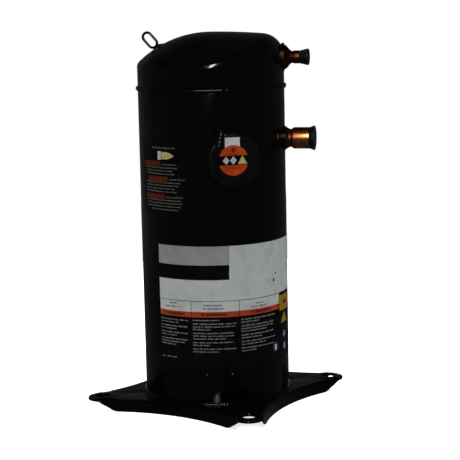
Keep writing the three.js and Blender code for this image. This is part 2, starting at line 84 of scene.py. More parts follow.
# ---- mesh making ----
# Edge angles in degrees, and how far along a side the rounding of its corner may reach.
SHARP = 32
BAR_SHARP = 60
CORNER_SHARE = 0.45


def mesh_object(name, points, faces, sharp=SHARP):
    """A smooth-shaded mesh from points in millimetres. Edges past an angle in degrees stay crisp."""
    mesh = bpy.data.meshes.new(name)
    scaled = [tuple(float(value) * MM for value in point) for point in points]
    mesh.from_pydata(scaled, [], faces)
    obj = bpy.data.objects.new(name, mesh)
    bpy.context.scene.collection.objects.link(obj)
    tidy_mesh(obj, sharp)
    return obj


def tidy_mesh(obj, sharp=SHARP):
    """Merges doubled points, turns every face outwards and shades smoothly up to an angle."""
    work = bmesh.new()
    work.from_mesh(obj.data)
    bmesh.ops.remove_doubles(work, verts=work.verts, dist=2e-6)
    bmesh.ops.dissolve_degenerate(work, edges=work.edges, dist=1e-6)
    bmesh.ops.recalc_face_normals(work, faces=work.faces)
    work.to_mesh(obj.data)
    work.free()
    obj.data.shade_smooth()
    obj.data.set_sharp_from_angle(angle=math.radians(sharp))


def lofted(name, rings, close_rows=False, sharp=SHARP):
    """Joins equal rings of points, each closed on itself, into one skin."""
    count = len(rings[0])
    points = [p for ring in rings for p in ring]
    faces = []
    last = len(rings) if close_rows else len(rings) - 1
    for row in range(last):
        here, there = row * count, ((row + 1) % len(rings)) * count
        for i in range(count):
            j = (i + 1) % count
            faces.append((here + i, here + j, there + j, there + i))
    return mesh_object(name, points, faces, sharp)


def softened(profile, radius, steps=4, closed=True):
    """Rounds each corner of a profile with a short curve."""
    rounded = []
    count = len(profile)
    for i, (r, z) in enumerate(profile):
        if not closed and i in (0, count - 1):
            rounded.append((r, z))
            continue
        corner = Vector((r, z))
        before = Vector(profile[i - 1]) - corner
        after = Vector(profile[(i + 1) % count]) - corner
        reach = min(radius, before.length * CORNER_SHARE, after.length * CORNER_SHARE)
        start = corner + before.normalized() * reach
        end = corner + after.normalized() * reach
        for k in range(steps + 1):
            t = k / steps
            point = start * (1 - t) ** 2 + corner * 2 * t * (1 - t) + end * t * t
            rounded.append((point.x, point.y))
    return rounded


def turned(name, profile, place=None, segments=96, sharp=SHARP, swell=None):
    """Revolves [radius, height] pairs about +Z. A profile off the axis closes on itself.

    swell(angle, radius, height) may give a new radius, which makes flutes and ripples.
    """
    on_axis = profile[0][0] < 1e-6 and profile[-1][0] < 1e-6
    angles = [2 * math.pi * i / segments for i in range(segments)]
    rings = []
    for r, z in profile:
        radii = [swell(a, r, z) if swell else r for a in angles]
        rings.append([(q * math.cos(a), q * math.sin(a), z) for q, a in zip(radii, angles)])
    obj = lofted(name, rings, close_rows=not on_axis, sharp=sharp)
    if place is not None:
        put(obj, place)
    return obj


def put(obj, place):
    """Moves a mesh by a placing matrix in millimetres, leaving its object at the origin."""
    metric = place.copy()
    metric.translation = place.translation * MM
    obj.data.transform(metric)
    obj.data.update()


def swept(name, path, sizes, sides):
    """A round bar along a path that closes on itself; sizes gives its radius at each point."""
    points = [Vector(p) for p in path]
    count = len(points)
    rings = []
    normal = None
    for i, here in enumerate(points):
        tangent = (points[(i + 1) % count] - points[i - 1]).normalized()
        if normal is None:
            normal = tangent.orthogonal().normalized()
        normal = (normal - tangent * normal.dot(tangent)).normalized()
        side = tangent.cross(normal)
        ring = []
        for k in range(sides):
            angle = 2 * math.pi * k / sides
            offset = normal * math.cos(angle) + side * math.sin(angle)
            ring.append(here + offset * sizes[i])
        rings.append(ring)
    return lofted(name, rings, close_rows=True, sharp=BAR_SHARP)


def cut(obj, *cutters, sharp=SHARP):
    """Cuts closed meshes out of an object, and removes them."""
    for cutter in cutters:
        modifier = obj.modifiers.new("cut", "BOOLEAN")
        modifier.operation = "DIFFERENCE"
        modifier.solver = "EXACT"
        modifier.object = cutter
        bpy.context.view_layer.objects.active = obj
        bpy.ops.object.modifier_apply(modifier=modifier.name)
        bpy.data.objects.remove(cutter)
    tidy_mesh(obj, sharp)


def around(angle, radius=1, height=0):
    """A point at an angle round the shell's axis."""
    return Vector((radius * math.cos(angle), radius * math.sin(angle), height))


def radial_place(azimuth, height):
    """A frame whose +Z points away from the shell's axis; its +X points down."""
    out = around(azimuth)
    down = Vector((0, 0, -1))
    side = out.cross(down)
    columns = Matrix((down, side, out)).transposed()
    return Matrix.Translation((0, 0, height)) @ columns.to_4x4()


SUCTION = radial_place(PORT_AZIMUTH, SUCTION_Z)
DISCHARGE = radial_place(PORT_AZIMUTH, DISCHARGE_Z)
TERMINAL = radial_place(TERMINAL_AZIMUTH, TERMINAL_Z)


# ---- materials ----
NOISE_ROUGHNESS = 0.55
INK_FADE = 0.1
SPREAD_HALF = 0.0085


def shader_of(name, color, roughness, metallic=0.0, specular=0.5):
    """A new material and its shader, with what is even all over set on the shader itself."""
    made = bpy.data.materials.new(name)
    made.use_nodes = True
    shader = made.node_tree.nodes["Principled BSDF"]
    for socket, value in (("Base Color", (*color, 1)), ("Roughness", roughness),
                          ("Metallic", metallic), ("Specular IOR Level", specular)):
        shader.inputs[socket].default_value = value
    return made, shader


def noise(tree, scale, detail, stretch=(1, 1, 1)):
    """Noise over the object's own coordinates, in features per metre."""
    place = tree.nodes.new("ShaderNodeTexCoord")
    mapping = tree.nodes.new("ShaderNodeMapping")
    mapping.inputs["Scale"].default_value = stretch
    texture = tree.nodes.new("ShaderNodeTexNoise")
    texture.inputs["Scale"].default_value = scale
    texture.inputs["Detail"].default_value = detail
    texture.inputs["Roughness"].default_value = NOISE_ROUGHNESS
    tree.links.new(place.outputs["Object"], mapping.inputs["Vector"])
    tree.links.new(mapping.outputs["Vector"], texture.inputs["Vector"])
    return texture.outputs["Fac"]


def ranged(tree, value, low, high, to_low, to_high):
    """Maps a value's range onto another."""
    node = tree.nodes.new("ShaderNodeMapRange")
    for socket, end in (("From Min", low), ("From Max", high), ("To Min", to_low), ("To Max", to_high)):
        node.inputs[socket].default_value = end
    tree.links.new(value, node.inputs["Value"])
    return node.outputs["Result"]


def blended(tree, factor, first, second):
    """Mixes two colours, each a colour or a node's output, by a factor."""
    node = tree.nodes.new("ShaderNodeMix")
    node.data_type = "RGBA"
    tree.links.new(factor, node.inputs["Factor"])
    for socket, colour in ((node.inputs["A"], first), (node.inputs["B"], second)):
        if isinstance(colour, tuple):
            socket.default_value = (*colour, 1)
        else:
            tree.links.new(colour, socket)
    return node.outputs["Result"]


def bumped(tree, shader, height, strength, distance, over=None):
    """Adds a bump, over another bump if one is given."""
    node = tree.nodes.new("ShaderNodeBump")
    node.inputs["Strength"].default_value = strength
    node.inputs["Distance"].default_value = distance
    tree.links.new(height, node.inputs["Height"])
    if over is not None:
        tree.links.new(over, node.inputs["Normal"])
    tree.links.new(node.outputs["Normal"], shader.inputs["Normal"])
    return node.outputs["Normal"]


def paint_material(name="black_enamel", rough=(0.08, 0.14), peel=0.04):
    """Black enamel: faint orange peel, cloudy gloss and a scatter of dust."""
    made, shader = shader_of(name, (0.0008, 0.0008, 0.0008), 0.2, specular=0.32)
    tree = made.node_tree
    clouds = noise(tree, 14, 4)
    dust = ranged(tree, noise(tree, 900, 2), 0.66, 0.74, 0, 1)
    shade = blended(tree, ranged(tree, clouds, 0.35, 0.7, 0, 1), (0.0003, 0.0003, 0.0003),
                    (0.0007, 0.0007, 0.0006))
    tree.links.new(blended(tree, dust, shade, (0.005, 0.005, 0.0048)), shader.inputs["Base Color"])
    tree.links.new(ranged(tree, clouds, 0.3, 0.72, *rough), shader.inputs["Roughness"])
    coarse = bumped(tree, shader, noise(tree, 60, 2), peel, 0.0006)
    bumped(tree, shader, noise(tree, 520, 2), peel, 0.0001, over=coarse)
    return made


def copper_material(name, bright, dull, stain, rough):
    """Drawn copper: cloudy tarnish, darker blotches and fine dents."""
    made, shader = shader_of(name, bright, rough[0], metallic=1.0)
    tree = made.node_tree
    clouds = noise(tree, 70, 5)
    blotches = ranged(tree, noise(tree, 240, 3), 0.55, 0.72, 0, 1)
    warm = blended(tree, ranged(tree, clouds, 0.35, 0.65, 0, 1), bright, dull)
    tree.links.new(blended(tree, blotches, warm, stain), shader.inputs["Base Color"])
    tree.links.new(ranged(tree, clouds, 0.3, 0.7, *rough), shader.inputs["Roughness"])
    bumped(tree, shader, noise(tree, 420, 3), 0.06, 0.0001)
    return made


def spread_material(bright, dull, stain, rough, middle, half):
    """Brazed copper that turns near black above and below a middle height, in metres."""
    made = copper_material("brazed_copper", bright, dull, stain, rough)
    tree = made.node_tree
    shader = tree.nodes["Principled BSDF"]
    copper = shader.inputs["Base Color"].links[0].from_socket
    place = tree.nodes.new("ShaderNodeTexCoord")
    parts = tree.nodes.new("ShaderNodeSeparateXYZ")
    tree.links.new(place.outputs["Object"], parts.inputs["Vector"])
    above = ranged(tree, parts.outputs["Z"], middle + half * 0.8, middle + half * 1.15, 0, 1)
    below = ranged(tree, parts.outputs["Z"], middle - half * 0.8, middle - half * 1.15, 0, 1)
    # Near black above and below the middle height, so the copper shows only in a band round it.
    near_black = (0.008, 0.006, 0.005)
    darkened_above = blended(tree, above, copper, near_black)
    tree.links.new(blended(tree, below, darkened_above, near_black), shader.inputs["Base Color"])
    return made


def rubber_material():
    """Black moulded rubber with a fine matt grain and pale bloom."""
    made, shader = shader_of("black_rubber", (0.003, 0.003, 0.003), 0.4, specular=0.35)
    tree = made.node_tree
    bloom = ranged(tree, noise(tree, 130, 4), 0.5, 0.8, 0, 1)
    colour = blended(tree, bloom, (0.0022, 0.0022, 0.0021), (0.006, 0.0056, 0.005))
    tree.links.new(colour, shader.inputs["Base Color"])
    tree.links.new(ranged(tree, bloom, 0, 1, 0.3, 0.6), shader.inputs["Roughness"])
    bumped(tree, shader, noise(tree, 1500, 2), 0.25, 0.0001)
    return made


def moulding_material():
    """Black moulded plastic with a spark-eroded grain."""
    made, shader = shader_of("black_moulding", (0.0012, 0.0012, 0.0013), 0.3, specular=0.22)
    tree = made.node_tree
    clouds = noise(tree, 90, 3)
    colour = blended(tree, clouds, (0.001, 0.001, 0.0011), (0.002, 0.002, 0.0021))
    tree.links.new(colour, shader.inputs["Base Color"])
    tree.links.new(ranged(tree, clouds, 0.3, 0.7, 0.24, 0.38), shader.inputs["Roughness"])
    bumped(tree, shader, noise(tree, 1100, 2), 0.3, 0.00008)
    return made


def machined_material(name, color, dark, roughness):
    """Turned or ground metal: fine tool lines round its axis, and stains."""
    made, shader = shader_of(name, color, roughness, metallic=1.0)
    tree = made.node_tree
    stains = ranged(tree, noise(tree, 45, 5), 0.4, 0.75, 0, 1)
    lines = noise(tree, 90, 3, stretch=(1, 1, 40))
    tree.links.new(blended(tree, stains, color, dark), shader.inputs["Base Color"])
    low, high = roughness - 0.1, roughness + 0.14
    tree.links.new(ranged(tree, lines, 0.3, 0.7, low, high), shader.inputs["Roughness"])
    bumped(tree, shader, lines, 0.2, 0.0002)
    return made


def grained_material(name, color, ends, roughness, grain, bump, **values):
    """Colour and bump that follow one grain: the bubbles of glass, or the strands of a winding."""
    made, shader = shader_of(name, color, roughness, **values)
    tree = made.node_tree
    pattern = noise(tree, *grain)
    tree.links.new(blended(tree, pattern, *ends), shader.inputs["Base Color"])
    bumped(tree, shader, pattern, *bump)
    return made


def film_material(name, color, roughness=0.3):
    """Printed label film: slight mottling of the ink, and a softly uneven gloss."""
    made, shader = shader_of(name, color, roughness, specular=0.1)
    tree = made.node_tree
    mottling = noise(tree, 55, 5)
    darker = tuple(c * (1 - INK_FADE) for c in color)
    lighter = tuple(c * (1 + INK_FADE) for c in color)
    ink = blended(tree, ranged(tree, mottling, 0.3, 0.7, 0, 1), darker, lighter)
    tree.links.new(ink, shader.inputs["Base Color"])
    low, high = roughness - 0.08, roughness + 0.1
    tree.links.new(ranged(tree, mottling, 0.3, 0.7, low, high), shader.inputs["Roughness"])
    bumped(tree, shader, noise(tree, 700, 2), 0.06, 0.0001)
    return made


PAINT = paint_material()
WELD_PAINT = paint_material("black_enamel_on_weld", peel=0.1)
COPPER = copper_material("copper", (0.8, 0.28, 0.11), (0.56, 0.16, 0.055), (0.34, 0.09, 0.03),
                         (0.23, 0.32))
SPREAD = spread_material((0.14, 0.034, 0.015), (0.09, 0.021, 0.01), (0.05, 0.014, 0.008),
                         (0.34, 0.48), DISCHARGE_Z * MM, SPREAD_HALF)
TARNISH = copper_material("heated_copper", (0.3, 0.09, 0.035), (0.12, 0.035, 0.018),
                          (0.04, 0.018, 0.014), (0.18, 0.34))
RUBBER = rubber_material()
MOULDING = moulding_material()
SLEEVING = paint_material("glossy_sleeving", rough=(0.2, 0.3), peel=0.02)
STEEL = machined_material("machined_steel", (0.5, 0.51, 0.53), (0.3, 0.3, 0.31), 0.32)
IRON = machined_material("machined_iron", (0.24, 0.24, 0.25), (0.12, 0.115, 0.11), 0.45)
BRONZE = machined_material("bearing_bronze", (0.6, 0.42, 0.2), (0.36, 0.22, 0.1), 0.34)
ALLOY = machined_material("cast_alloy", (0.72, 0.73, 0.75), (0.5, 0.5, 0.52), 0.4)
GLASS = grained_material("sealing_glass", (0.05, 0.11, 0.08), ((0.03, 0.08, 0.055), (0.09, 0.16, 0.12)),
                         0.12, (900, 2), (0.1, 0.0001), specular=0.6)
WINDING = grained_material("varnished_wire", (0.4, 0.13, 0.05), ((0.2, 0.055, 0.02), (0.6, 0.22, 0.09)),
                           0.35, (160, 2, (1, 1, 6)), (0.8, 0.0015), metallic=0.7)

BY_SLOT = {
    "paint": PAINT, "steel": STEEL, "iron": IRON, "copper": COPPER, "bronze": BRONZE,
    "alloy": ALLOY, "rubber": RUBBER, "moulding": MOULDING, "winding": WINDING, "glass": GLASS,
}

# What the light named copper_box falls on.
COPPER_PIECES = bpy.data.collections.new("copper_pieces")


def dress(obj, material, body, slot, *replaced):
    """Gives a new piece its material and its body, and hides the CAD nodes that it stands for; a piece
    in the copper slot joins what the copper_box light falls on.
    """
    if slot == "copper":
        COPPER_PIECES.objects.link(obj)
    obj.data.materials.clear()
    obj.data.materials.append(material)
    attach(obj, body)
    if replaced:
        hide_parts(*replaced)
    return obj


def dress_frame():
    """Gives every CAD node the material of its slot."""
    for part in frame["record"]["subparts"]:
        node = frame["nodes"][part["node"]]
        node.data.materials.clear()
        node.data.materials.append(BY_SLOT[part["material_slot"]])


# ---- pressure vessel ----
SUCTION_HOLE_R = 12.8
TERMINAL_HOLE_R = 21
DRILL_FROM = 60
DRILL_TO = 100


def drill(name, radius, place):
    """A cylinder through the shell's wall, to cut a round hole with."""
    profile = [(0, DRILL_FROM), (radius, DRILL_FROM), (radius, DRILL_TO), (0, DRILL_TO)]
    return turned(name, profile, place)


def make_shell():
    """The rolled tube, with its two holes and rounded rims."""
    inner = SHELL_R - WALL
    wall = [(inner, SHELL_LOW), (SHELL_R, SHELL_LOW), (SHELL_R, SEAM_Z), (inner, SEAM_Z)]
    shell = turned("shell_tube", softened(wall, 0.8, 3), segments=192)
    cut(shell, drill("suction_hole", SUCTION_HOLE_R, SUCTION),
        drill("terminal_hole", TERMINAL_HOLE_R, TERMINAL))
    dress(shell, PAINT, "housing", "paint", "shell")


CROWN_R = 117
FLAT_CROWN_R = 684
KNUCKLE_R = 10
SHOULDER_R = 26


def cap_face(azimuth, inset, crown_steps, knuckle_steps):
    """The cap's section at an azimuth: crown, then knuckle, as (radius, height) pairs."""
    port = max(0.0, math.cos(azimuth - PORT_AZIMUTH)) ** 2
    crown = 1 / ((1 - port) / CROWN_R + port / FLAT_CROWN_R) - inset
    knuckle = KNUCKLE_R + (SHOULDER_R - KNUCKLE_R) * port - inset
    top = APEX_Z - inset
    reach = SHELL_R - inset - knuckle
    lean = math.asin(reach / (1 - knuckle / crown) / crown)
    centre_z = top - crown * (1 - math.cos(lean)) - knuckle * math.cos(lean)
    face = []
    for i in range(crown_steps + 1):
        angle = lean * i / crown_steps
        face.append((crown * math.sin(angle), top - crown * (1 - math.cos(angle))))
    for i in range(1, knuckle_steps + 1):
        angle = lean + (math.pi / 2 - lean) * i / knuckle_steps
        face.append((reach + knuckle * math.sin(angle), centre_z + knuckle * math.cos(angle)))
    return face


def make_cap():
    """The pressed dome: low over the lifting ring, with a high shoulder behind the discharge stub."""
    segments = 192
    columns = []
    for i in range(segments):
        azimuth = 2 * math.pi * i / segments
        outer = cap_face(azimuth, 0, 26, 14)
        inner = cap_face(azimuth, WALL, 8, 5)[::-1]
        skirt = [(SHELL_R, CAP_LOW + 0.8), (SHELL_R - 0.8, CAP_LOW), (SHELL_R - WALL, CAP_LOW)]
        section = outer + skirt + inner
        turn = (math.cos(azimuth), math.sin(azimuth))
        columns.append([(r * turn[0], r * turn[1], z) for r, z in section])
    rings = [list(ring) for ring in zip(*columns)]
    dome = lofted("cap_dome", rings)
    dress(dome, PAINT, "housing", "paint", "top_cap")


WAVE_STEPS = 4
WAVE_DEPTH = 0.12


def ripple(i):
    """A weld bead's swelling at a step along it."""
    return 1 + WAVE_DEPTH * abs(math.sin(math.pi * i / WAVE_STEPS))


def weld_circle(name, radius, height, size, waves, seed):
    """A rippled weld bead round the shell's axis."""
    wander = random.Random(seed)
    steps = waves * WAVE_STEPS
    drift = [wander.uniform(0.94, 1.06) for _ in range(waves)]
    path, sizes = [], []
    for i in range(steps):
        angle = 2 * math.pi * i / steps
        path.append(around(angle, radius, height))
        wave = i // WAVE_STEPS
        here, there = drift[wave], drift[(wave + 1) % waves]
        sizes.append(size * ripple(i) * (here + (there - here) * (i % WAVE_STEPS) / WAVE_STEPS))
    bead = swept(name, path, sizes, sides=14)
    return dress(bead, WELD_PAINT, "housing", "paint")


def weld_ring(name, place, radius, offset, size, waves, seed, sink):
    """A rippled weld bead round a fitting. It sinks by a share of the shell's fall to its sides."""
    wander = random.Random(seed)
    steps = waves * WAVE_STEPS
    path, sizes = [], []
    for i in range(steps):
        angle = 2 * math.pi * i / steps
        side = radius * math.sin(angle)
        fall = SHELL_R - math.sqrt(max(0.0, SHELL_R ** 2 - side ** 2))
        local = Vector((radius * math.cos(angle), side, offset - fall * sink))
        path.append(place @ local)
        sizes.append(size * ripple(i) * wander.uniform(0.96, 1.04))
    bead = swept(name, path, sizes, sides=12)
    return dress(bead, WELD_PAINT, "housing", "paint")


def make_welds():
    """The beads at the cap's seam, at the foot and round the three fittings."""
    weld_circle("seam_weld", SHELL_R - 1.2, (SEAM_Z + CAP_LOW) / 2, 2.9, 150, 3)
    weld_circle("foot_weld", SHELL_R - 0.1, PLATE_TOP + 0.2, 2.3, 150, 4)
    weld_ring("suction_weld", SUCTION, 12.6, SHELL_R + 0.1, 1.2, 26, 5, 1.0)
    weld_ring("discharge_weld", DISCHARGE, 14.2, SHELL_R - 0.6, 1.6, 26, 6, 0.75)
    weld_ring("terminal_weld", TERMINAL, 24.6, SHELL_R + 0.2, 1.6, 44, 7, 1.0)


PLUG_WELD_Z = 46.5
PLUG_WELD_R = 3.8
PLUG_WELD_RISE = 2.2
PLUG_WELD_ROOT = -1.2
PLUG_WELD_STEPS = 8
FIRST_PAIR = math.radians(-57.2)
PAIR_HALF = math.radians(10.2)


def plug_weld(name, azimuth):
    """A low round button where a weld holds an inner bracket to the shell."""
    profile = [(0, PLUG_WELD_RISE)]
    for i in range(1, PLUG_WELD_STEPS + 1):
        angle = math.pi / 2 * i / PLUG_WELD_STEPS
        profile.append((PLUG_WELD_R * math.sin(angle), PLUG_WELD_RISE * math.cos(angle)))
    profile += [(PLUG_WELD_R, PLUG_WELD_ROOT), (0, PLUG_WELD_ROOT)]
    place = radial_place(azimuth, PLUG_WELD_Z) @ Matrix.Translation((0, 0, SHELL_R - 0.2))
    button = turned(name, profile, place, segments=32)
    dress(button, WELD_PAINT, "housing", "paint")


def make_plug_welds():
    """Three pairs of buttons low on the shell, over the lower bracket's rim."""
    for pair in range(3):
        middle = FIRST_PAIR + pair * 2 * math.pi / 3
        plug_weld(f"plug_weld_{pair + 1}a", middle - PAIR_HALF)
        plug_weld(f"plug_weld_{pair + 1}b", middle + PAIR_HALF)


# ---- foot ----
EDGE_REACH = WAIST_R - TIP_R
EDGE_CENTRE = (2 * HALF_PITCH ** 2 - EDGE_REACH ** 2) / (2 * (HALF_PITCH - EDGE_REACH))
EDGE_R = EDGE_CENTRE - WAIST_R
EDGE_SWEEP = math.atan2(HALF_PITCH, EDGE_CENTRE - HALF_PITCH)
EDGE_STEPS = 40
TIP_STEPS = 32
HOLE_REACH = HALF_PITCH * math.sqrt(2)
SHEET_LOW = PLATE_TOP - PLATE_THICK


def foot_outline():
    """Points round the foot's edge, each with its inward normal."""
    samples = []
    for quarter in range(4):
        turn = quarter * math.pi / 2
        centre = around(turn, EDGE_CENTRE)
        for i in range(EDGE_STEPS):
            angle = turn + math.pi + EDGE_SWEEP * (1 - 2 * i / EDGE_STEPS)
            out = around(angle)
            samples.append((centre + out * EDGE_R, out))
        tip = around(turn + math.pi / 4, HOLE_REACH)
        first, last = turn - EDGE_SWEEP, turn + math.pi / 2 + EDGE_SWEEP
        for i in range(TIP_STEPS):
            angle = first + (last - first) * i / TIP_STEPS
            out = around(angle)
            samples.append((tip + out * TIP_R, -out))
    return samples


FLANGE_FULL_R = 127
FLANGE_GONE_R = 144
OPENING_R = 62
PAD_R, PAD_RISE, PAD_SLOPE = 15.5, 0.9, 0.8
GROOVE_HALF, GROOVE_DEPTH, GROOVE_END, GROOVE_END_SLOPE = 12, 0.7, 114, 1.6
SHEET_STEPS = 18
BEND_R, BEND_STEPS = 4.0, 5
UNDER_R, UNDER_STEPS = 1.4, 4
LIP = 0.8


def flange_low(point):
    """Height of the turned-down edge's lower rim at a point."""
    share = (point.length - FLANGE_FULL_R) / (FLANGE_GONE_R - FLANGE_FULL_R)
    return SHEET_LOW * min(1.0, max(0.0, share))


def foot_relief(point):
    """Pressed shape of the foot's sheet: a low pad round each hole and a groove along each arm."""
    u = abs(point.x)
    v = abs(point.y)
    along, across = (u + v) / math.sqrt(2), abs(u - v) / math.sqrt(2)
    hole_gap = math.hypot(along - HOLE_REACH, across)
    pad = PAD_RISE / (1 + math.exp((hole_gap - PAD_R) / PAD_SLOPE))
    groove = max(0.0, 1 - (across / GROOVE_HALF) ** 2) ** 2
    ends = 1 / (1 + math.exp((along - GROOVE_END) / GROOVE_END_SLOPE))
    return pad - GROOVE_DEPTH * groove * ends


def foot_section(edge, inward):
    """One slice of the foot from its opening out over the edge and back underneath."""
    low = flange_low(edge)
    tall = low < SHEET_LOW - 1
    bend = BEND_R if tall else max(UNDER_R, BEND_R * (SHEET_LOW - low))
    centre = edge.normalized() * OPENING_R
    start = edge + inward * bend
    section = []
    for i in range(SHEET_STEPS):
        point = centre.lerp(start, i / SHEET_STEPS)
        relief = foot_relief(point) if 0 < i else 0.0
        section.append((point.x, point.y, PLATE_TOP + relief))
    for i in range(BEND_STEPS + 1):
        angle = math.pi / 2 * i / BEND_STEPS
        point = edge + inward * bend * (1 - math.sin(angle))
        section.append((point.x, point.y, PLATE_TOP - bend * (1 - math.cos(angle))))
    for inset, height in ((0, low + LIP), (LIP * 0.3, low + LIP * 0.3), (LIP, low),
                          (PLATE_THICK - LIP, low), (PLATE_THICK, low + LIP)):
        point = edge + inward * inset
        section.append((point.x, point.y, min(height, PLATE_TOP - bend)))
    drop = min(UNDER_R, max(0.0, SHEET_LOW - low - LIP))
    for i in range(UNDER_STEPS + 1):
        angle = math.pi / 2 * i / UNDER_STEPS
        point = edge + inward * (PLATE_THICK + UNDER_R * (1 - math.cos(angle)))
        section.append((point.x, point.y, SHEET_LOW - drop * (1 - math.sin(angle))))
    under_start = edge + inward * (PLATE_THICK + UNDER_R)
    for i in range(1, SHEET_STEPS):
        point = under_start.lerp(centre, i / SHEET_STEPS)
        section.append((point.x, point.y, SHEET_LOW + foot_relief(point)))
    section.append((centre.x, centre.y, SHEET_LOW))
    return section


def make_foot():
    """The pressed steel foot, with a hole near the tip of each arm."""
    sections = [foot_section(edge, inward) for edge, inward in foot_outline()]
    rings = [list(ring) for ring in zip(*sections)]
    foot = lofted("foot_plate", rings, close_rows=True)
    rim = 0.9
    bore = [(0, 5), (HOLE_R, 5), (HOLE_R, 13.6), (HOLE_R + rim * 0.3, 14.5),
            (HOLE_R + rim, 15.2), (HOLE_R + rim, 20), (0, 20)]
    cutters = []
    for quarter in range(4):
        place = Matrix.Translation(around(math.pi / 4 + quarter * math.pi / 2, HOLE_REACH))
        cutters.append(turned(f"bore_{quarter}", bore, place, segments=48))
    cut(foot, *cutters)
    dress(foot, PAINT, "housing", "paint", "base_plate")


# ---- lifting ring ----
RING_FOOT = (61.4, 404.2)
RING_LEAN = math.radians(41.5)
RING_BEND = 5
RING_STRAIGHT = 9.3
RING_ROD = 1.5
RING_STEPS = 24
MOUND_CENTRE = 59
MOUND_STRETCH = 1.6


def ring_loop():
    """The rod's centre line as (across, along) pairs: two half circles and two straights."""
    loop = []
    for turn, lift in ((0, RING_STRAIGHT), (math.pi, 0)):
        for i in range(RING_STEPS + 1):
            angle = turn + math.pi * i / RING_STEPS
            along = RING_ROD + RING_BEND + lift + RING_BEND * math.sin(angle)
            loop.append((RING_BEND * math.cos(angle), along))
    return loop


def make_lifting_ring():
    """A bent rod loop leaning outwards, and the weld that holds its foot to the cap."""
    azimuth = PORT_AZIMUTH + math.pi
    out = around(azimuth)
    side = Vector((-math.sin(azimuth), math.cos(azimuth), 0))
    up = Vector((0, 0, 1))
    lengthways = out * math.sin(RING_LEAN) + up * math.cos(RING_LEAN)
    across = out * math.cos(RING_LEAN) - up * math.sin(RING_LEAN)
    foot = out * RING_FOOT[0] + up * RING_FOOT[1]
    path = [foot + across * a + lengthways * b for a, b in ring_loop()]
    loop = swept("ring_rod", path, [RING_ROD] * len(path), sides=16)
    dress(loop, PAINT, "housing", "paint", "lifting_ring")
    slope = math.asin(MOUND_CENTRE / CROWN_R)
    height = APEX_Z - CROWN_R * (1 - math.cos(slope))
    normal = out * math.sin(slope) + up * math.cos(slope)
    downhill = out * math.cos(slope) - up * math.sin(slope)
    seat = Matrix((downhill * MOUND_STRETCH, side, normal)).transposed().to_4x4()
    seat.translation = out * MOUND_CENTRE + up * height
    mound = [(0.6 * i, 1.6 * math.cos(math.pi * i / 10) + 1.2) for i in range(11)]
    weld = turned("ring_weld", mound + [(6, -2), (0, -2)], seat, segments=64, swell=lumps)
    dress(weld, WELD_PAINT, "housing", "paint")


def lumps(angle, radius, height):
    """The uneven outline of a hand-laid weld."""
    return radius * (1 + 0.05 * math.sin(5 * angle) + 0.04 * math.sin(9 * angle + height))


# ---- stubs and their plugs ----
def make_suction_line():
    """The suction stub: painted collar, copper tube with a swaged socket, braze and rubber plug."""
    collar = softened([(10.3, 76), (12.5, 76), (12.5, 83.4), (12.7, 84.2), (11.8, 85), (10.7, 87),
                       (10.3, 88)], 0.5)
    dress(turned("suction_bell", collar, SUCTION), PAINT, "housing", "paint", "suction_collar")
    tube = softened([(9.1, 72), (10, 72), (10, 90.6), (12, 93.2), (12, 111.2),
                     (11.15, 111.2), (11.15, 93.8), (9.1, 91.2)], 0.9)
    dress(turned("suction_tube", tube, SUCTION), COPPER, "housing", "copper", "suction_stub")
    fillet = softened([(9.95, 83.9), (12.7, 84.1), (12.4, 84.9), (11.5, 86), (10.7, 87.6),
                       (10.1, 89.2), (9.95, 89.2)], 0.5)
    braze = turned("suction_braze", fillet, SUCTION, swell=braze_swell)
    dress(braze, TARNISH, "housing", "copper")
    plug = softened([(0, 101), (10.1, 101), (10.8, 102), (10.8, 111.5), (12.1, 111.5),
                     (12.8, 113.3), (13.4, 114.8), (13.9, 116), (13.5, 116.9), (11.9, 117.3),
                     (9.6, 117.3), (9, 116.7), (5.2, 116.7), (4.6, 117.2), (0, 117.3)], 0.35,
                    closed=False)
    dress(turned("suction_stopper", plug, SUCTION), RUBBER, "suction_shipping_plug", "rubber",
          "suction_plug")


def braze_swell(angle, radius, height):
    """An uneven edge to a braze fillet."""
    return radius * (1 + 0.012 * math.sin(4 * angle + height) + 0.008 * math.sin(11 * angle))


def make_discharge_line():
    """The discharge stub: domed fitting under copper braze, beaded copper tube and rubber plug."""
    boss = softened([(6.7, 74), (9.3, 74), (9.3, 66), (14, 66), (14, 80.5), (13.5, 83.6),
                     (12.1, 86.1), (9.8, 88), (7.6, 89), (6.7, 89)], 1.2, 5)
    dress(turned("discharge_socket", boss, DISCHARGE), PAINT, "housing", "paint", "discharge_boss")
    spread = softened([(6.3, 78.4), (14.1, 78.4), (14.25, 80.6), (13.7, 83.9), (12.3, 86.4),
                       (10, 88.3), (8.2, 89.6), (7.1, 91), (6.5, 93), (6.3, 93)], 0.9)
    braze = turned("discharge_braze", spread, DISCHARGE, swell=braze_swell)
    dress(braze, SPREAD, "housing", "copper")
    tube = softened([(5.4, 75), (6.4, 75), (6.4, 92.4), (6.9, 94), (7.25, 96), (7.25, 99.6),
                     (7.1, 101), (6.4, 101), (6.4, 96.4), (5.4, 94.4)], 0.7)
    dress(turned("discharge_tube", tube, DISCHARGE), SPREAD, "housing", "copper", "discharge_stub")
    plug = softened([(0, 92.6), (4.7, 92.6), (5.1, 93.4), (5.1, 94.6), (6.05, 97), (6.05, 101.3),
                     (7.3, 101.3), (7.7, 103.4), (8.2, 105.6), (8.9, 108.2), (9.2, 110),
                     (8.7, 111.1), (6.4, 111.6), (5.2, 111.2), (0, 111.2)], 0.4, closed=False)
    dress(turned("discharge_stopper", plug, DISCHARGE), RUBBER, "discharge_shipping_plug",
          "rubber", "discharge_plug")


# ---- terminal cover ----
COVER_R = 29
COVER_INNER_R = 26
COVER_FRONT = 99
COVER_BACK = 72
FACE_BACK = COVER_FRONT - 2.8
FLUTES = 36
FLUTE_DEPTH = 0.6
SLEEVE_R = 4.3
SLEEVE_HALF = 9.3
SLEEVE_LEAN = math.radians(12.7)


